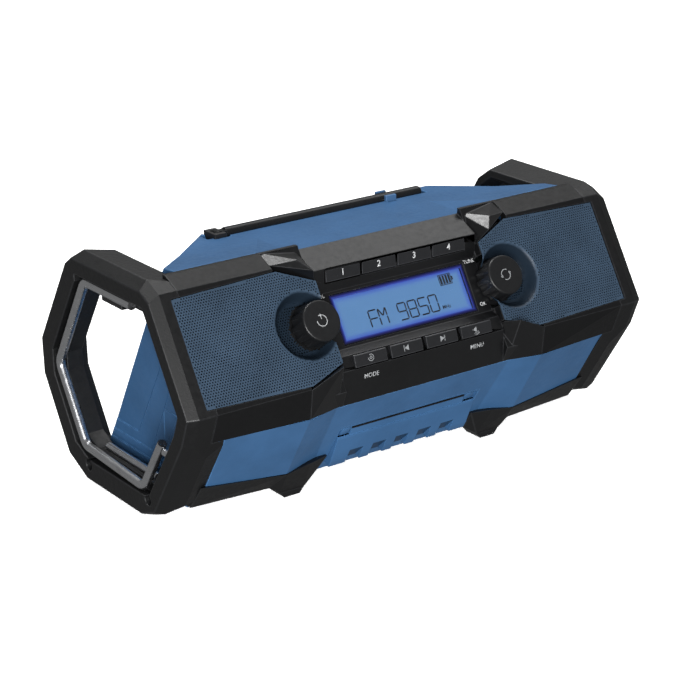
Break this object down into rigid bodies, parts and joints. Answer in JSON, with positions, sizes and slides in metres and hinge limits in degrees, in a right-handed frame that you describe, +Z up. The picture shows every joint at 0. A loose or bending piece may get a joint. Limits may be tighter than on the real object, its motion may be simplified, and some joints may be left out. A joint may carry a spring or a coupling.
{
  "type": "jobsite radio",
  "caption": "Portable jobsite radio with a leaning front, two perforated speaker grilles, display, keys, two knobs, bumper rings at both ends, a swing-out hook and a folding antenna.",
  "frame": {"origin": "centre of the bounding box's bottom, on the surface that the feet stand on", "axes": "+X along the length from the volume knob's side to the tuning knob's side, +Y to the rear, +Z up"},
  "size_m": [0.35, 0.1808, 0.157],
  "materials": {
    "bumper_rubber": "satin black elastomer",
    "dark_shell": "dark grey textured plastic",
    "blue_shell": "deep blue textured plastic",
    "grille_black": "blue-grey coated steel",
    "knob_black": "black moulded plastic",
    "key_grey": "dark grey silicone",
    "lens_clear": "clear window",
    "lcd": "backlit display",
    "board": "green board",
    "switch_black": "small moulded parts",
    "steel": "bare steel",
    "dark_steel": "black coated steel",
    "chrome": "polished",
    "cone_paper": "pressed paper cone",
    "brass": "contact blades",
    "pack_black": "black pack case",
    "release_blue": "blue button"
  },
  "bodies": {
    "chassis": {"accessory_tub": "dark_shell", "amplifier_board": "board", "antenna_base": "switch_black", "antenna_clip": "release_blue", "aux_socket": "switch_black", "battery_bay": "dark_shell", "battery_terminals": "brass", "board_spacers": "steel", "connection_panel": "dark_shell", "console_fascia": "dark_shell", "control_board": "board", "display_lens": "lens_clear", "front_lower_housing": "blue_shell", "hatch_pin": "steel", "hinge_carrier": "blue_shell", "hook_bracket": "dark_shell", "hook_keeper_pin": "chrome", "key_switches": "switch_black", "lcd_module": "lcd", "left_base_bumper": "bumper_rubber", "left_bumper_ring": "bumper_rubber", "left_grille": "grille_black", "left_speaker_basket": "dark_steel", "left_speaker_cone": "cone_paper", "left_speaker_frame": "dark_shell", "left_speaker_magnet": "steel", "lower_tie_rod": "chrome", "power_inlet": "switch_black", "rear_housing": "blue_shell", "rear_screws": "steel", "right_base_bumper": "bumper_rubber", "right_bumper_ring": "bumper_rubber", "right_grille": "grille_black", "right_speaker_basket": "dark_steel", "right_speaker_cone": "cone_paper", "right_speaker_frame": "dark_shell", "right_speaker_magnet": "steel", "ring_screws": "steel", "rubber_feet": "bumper_rubber", "top_cover": "blue_shell", "tuning_encoder": "switch_black", "usb_socket": "switch_black", "volume_encoder": "switch_black"},
    "volume_spindle": {"volume_shaft": "steel"},
    "volume_dial": {"volume_knob": "knob_black"},
    "tuning_spindle": {"tuning_shaft": "steel"},
    "tuning_dial": {"tuning_knob": "knob_black"},
    "hook": {"hanging_hook": "chrome"},
    "hatch": {"accessory_hatch": "blue_shell"},
    "mast": {"antenna": "dark_steel"},
    "battery": {"battery_case": "pack_black"},
    "release": {"battery_release": "release_blue"},
    "preset_1": {"preset_key_1": "key_grey"},
    "function_1": {"function_key_1": "key_grey"},
    "preset_2": {"preset_key_2": "key_grey"},
    "function_2": {"function_key_2": "key_grey"},
    "preset_3": {"preset_key_3": "key_grey"},
    "function_3": {"function_key_3": "key_grey"},
    "preset_4": {"preset_key_4": "key_grey"},
    "function_4": {"function_key_4": "key_grey"}
  },
  "joints": [
    {"name": "volume_turn", "type": "hinge", "parent": "chassis", "child": "volume_spindle", "pos_m": [-0.0709, -0.06005, 0.11338], "axis": [0, -0.8526, 0.5225], "continuous": true},
    {"name": "volume_press", "type": "slide", "parent": "volume_spindle", "child": "volume_dial", "axis": [0, 0.8526, -0.5225], "range_m": [0, 0.0008], "stiffness_N_per_m": 600, "springref_m": -0.001},
    {"name": "tuning_turn", "type": "hinge", "parent": "chassis", "child": "tuning_spindle", "pos_m": [0.0709, -0.06005, 0.11338], "axis": [0, -0.8526, 0.5225], "continuous": true},
    {"name": "tuning_press", "type": "slide", "parent": "tuning_spindle", "child": "tuning_dial", "axis": [0, 0.8526, -0.5225], "range_m": [0, 0.0008], "stiffness_N_per_m": 600, "springref_m": -0.001},
    {"name": "preset_1_press", "type": "slide", "parent": "chassis", "child": "preset_1", "axis": [0, 0.8526, -0.5225], "range_m": [0, 0.001], "stiffness_N_per_m": 400, "springref_m": -0.001},
    {"name": "preset_2_press", "type": "slide", "parent": "chassis", "child": "preset_2", "axis": [0, 0.8526, -0.5225], "range_m": [0, 0.001], "stiffness_N_per_m": 400, "springref_m": -0.001},
    {"name": "preset_3_press", "type": "slide", "parent": "chassis", "child": "preset_3", "axis": [0, 0.8526, -0.5225], "range_m": [0, 0.001], "stiffness_N_per_m": 400, "springref_m": -0.001},
    {"name": "preset_4_press", "type": "slide", "parent": "chassis", "child": "preset_4", "axis": [0, 0.8526, -0.5225], "range_m": [0, 0.001], "stiffness_N_per_m": 400, "springref_m": -0.001},
    {"name": "function_1_press", "type": "slide", "parent": "chassis", "child": "function_1", "axis": [0, 0.8526, -0.5225], "range_m": [0, 0.001], "stiffness_N_per_m": 400, "springref_m": -0.001},
    {"name": "function_2_press", "type": "slide", "parent": "chassis", "child": "function_2", "axis": [0, 0.8526, -0.5225], "range_m": [0, 0.001], "stiffness_N_per_m": 400, "springref_m": -0.001},
    {"name": "function_3_press", "type": "slide", "parent": "chassis", "child": "function_3", "axis": [0, 0.8526, -0.5225], "range_m": [0, 0.001], "stiffness_N_per_m": 400, "springref_m": -0.001},
    {"name": "function_4_press", "type": "slide", "parent": "chassis", "child": "function_4", "axis": [0, 0.8526, -0.5225], "range_m": [0, 0.001], "stiffness_N_per_m": 400, "springref_m": -0.001},
    {"name": "hook_swing", "type": "hinge", "parent": "chassis", "child": "hook", "pos_m": [-0.1718, -0.01008, 0.1387], "axis": [0, 1, 0], "range_deg": [0, 90]},
    {"name": "hatch_open", "type": "hinge", "parent": "chassis", "child": "hatch", "pos_m": [0, -0.06073, 0.04291], "axis": [-1, 0, 0], "range_deg": [0, 85]},
    {"name": "antenna_fold", "type": "hinge", "parent": "chassis", "child": "mast", "pos_m": [-0.082, 0.02392, 0.153], "axis": [0, -1, 0], "range_deg": [0, 90]},
    {"name": "battery_slide", "type": "slide", "parent": "chassis", "child": "battery", "axis": [0, 1, 0], "range_m": [0, 0.105]},
    {"name": "release_press", "type": "slide", "parent": "battery", "child": "release", "axis": [0, 0, 1], "range_m": [0, 0.003], "stiffness_N_per_m": 500, "springref_m": -0.002}
  ]
}
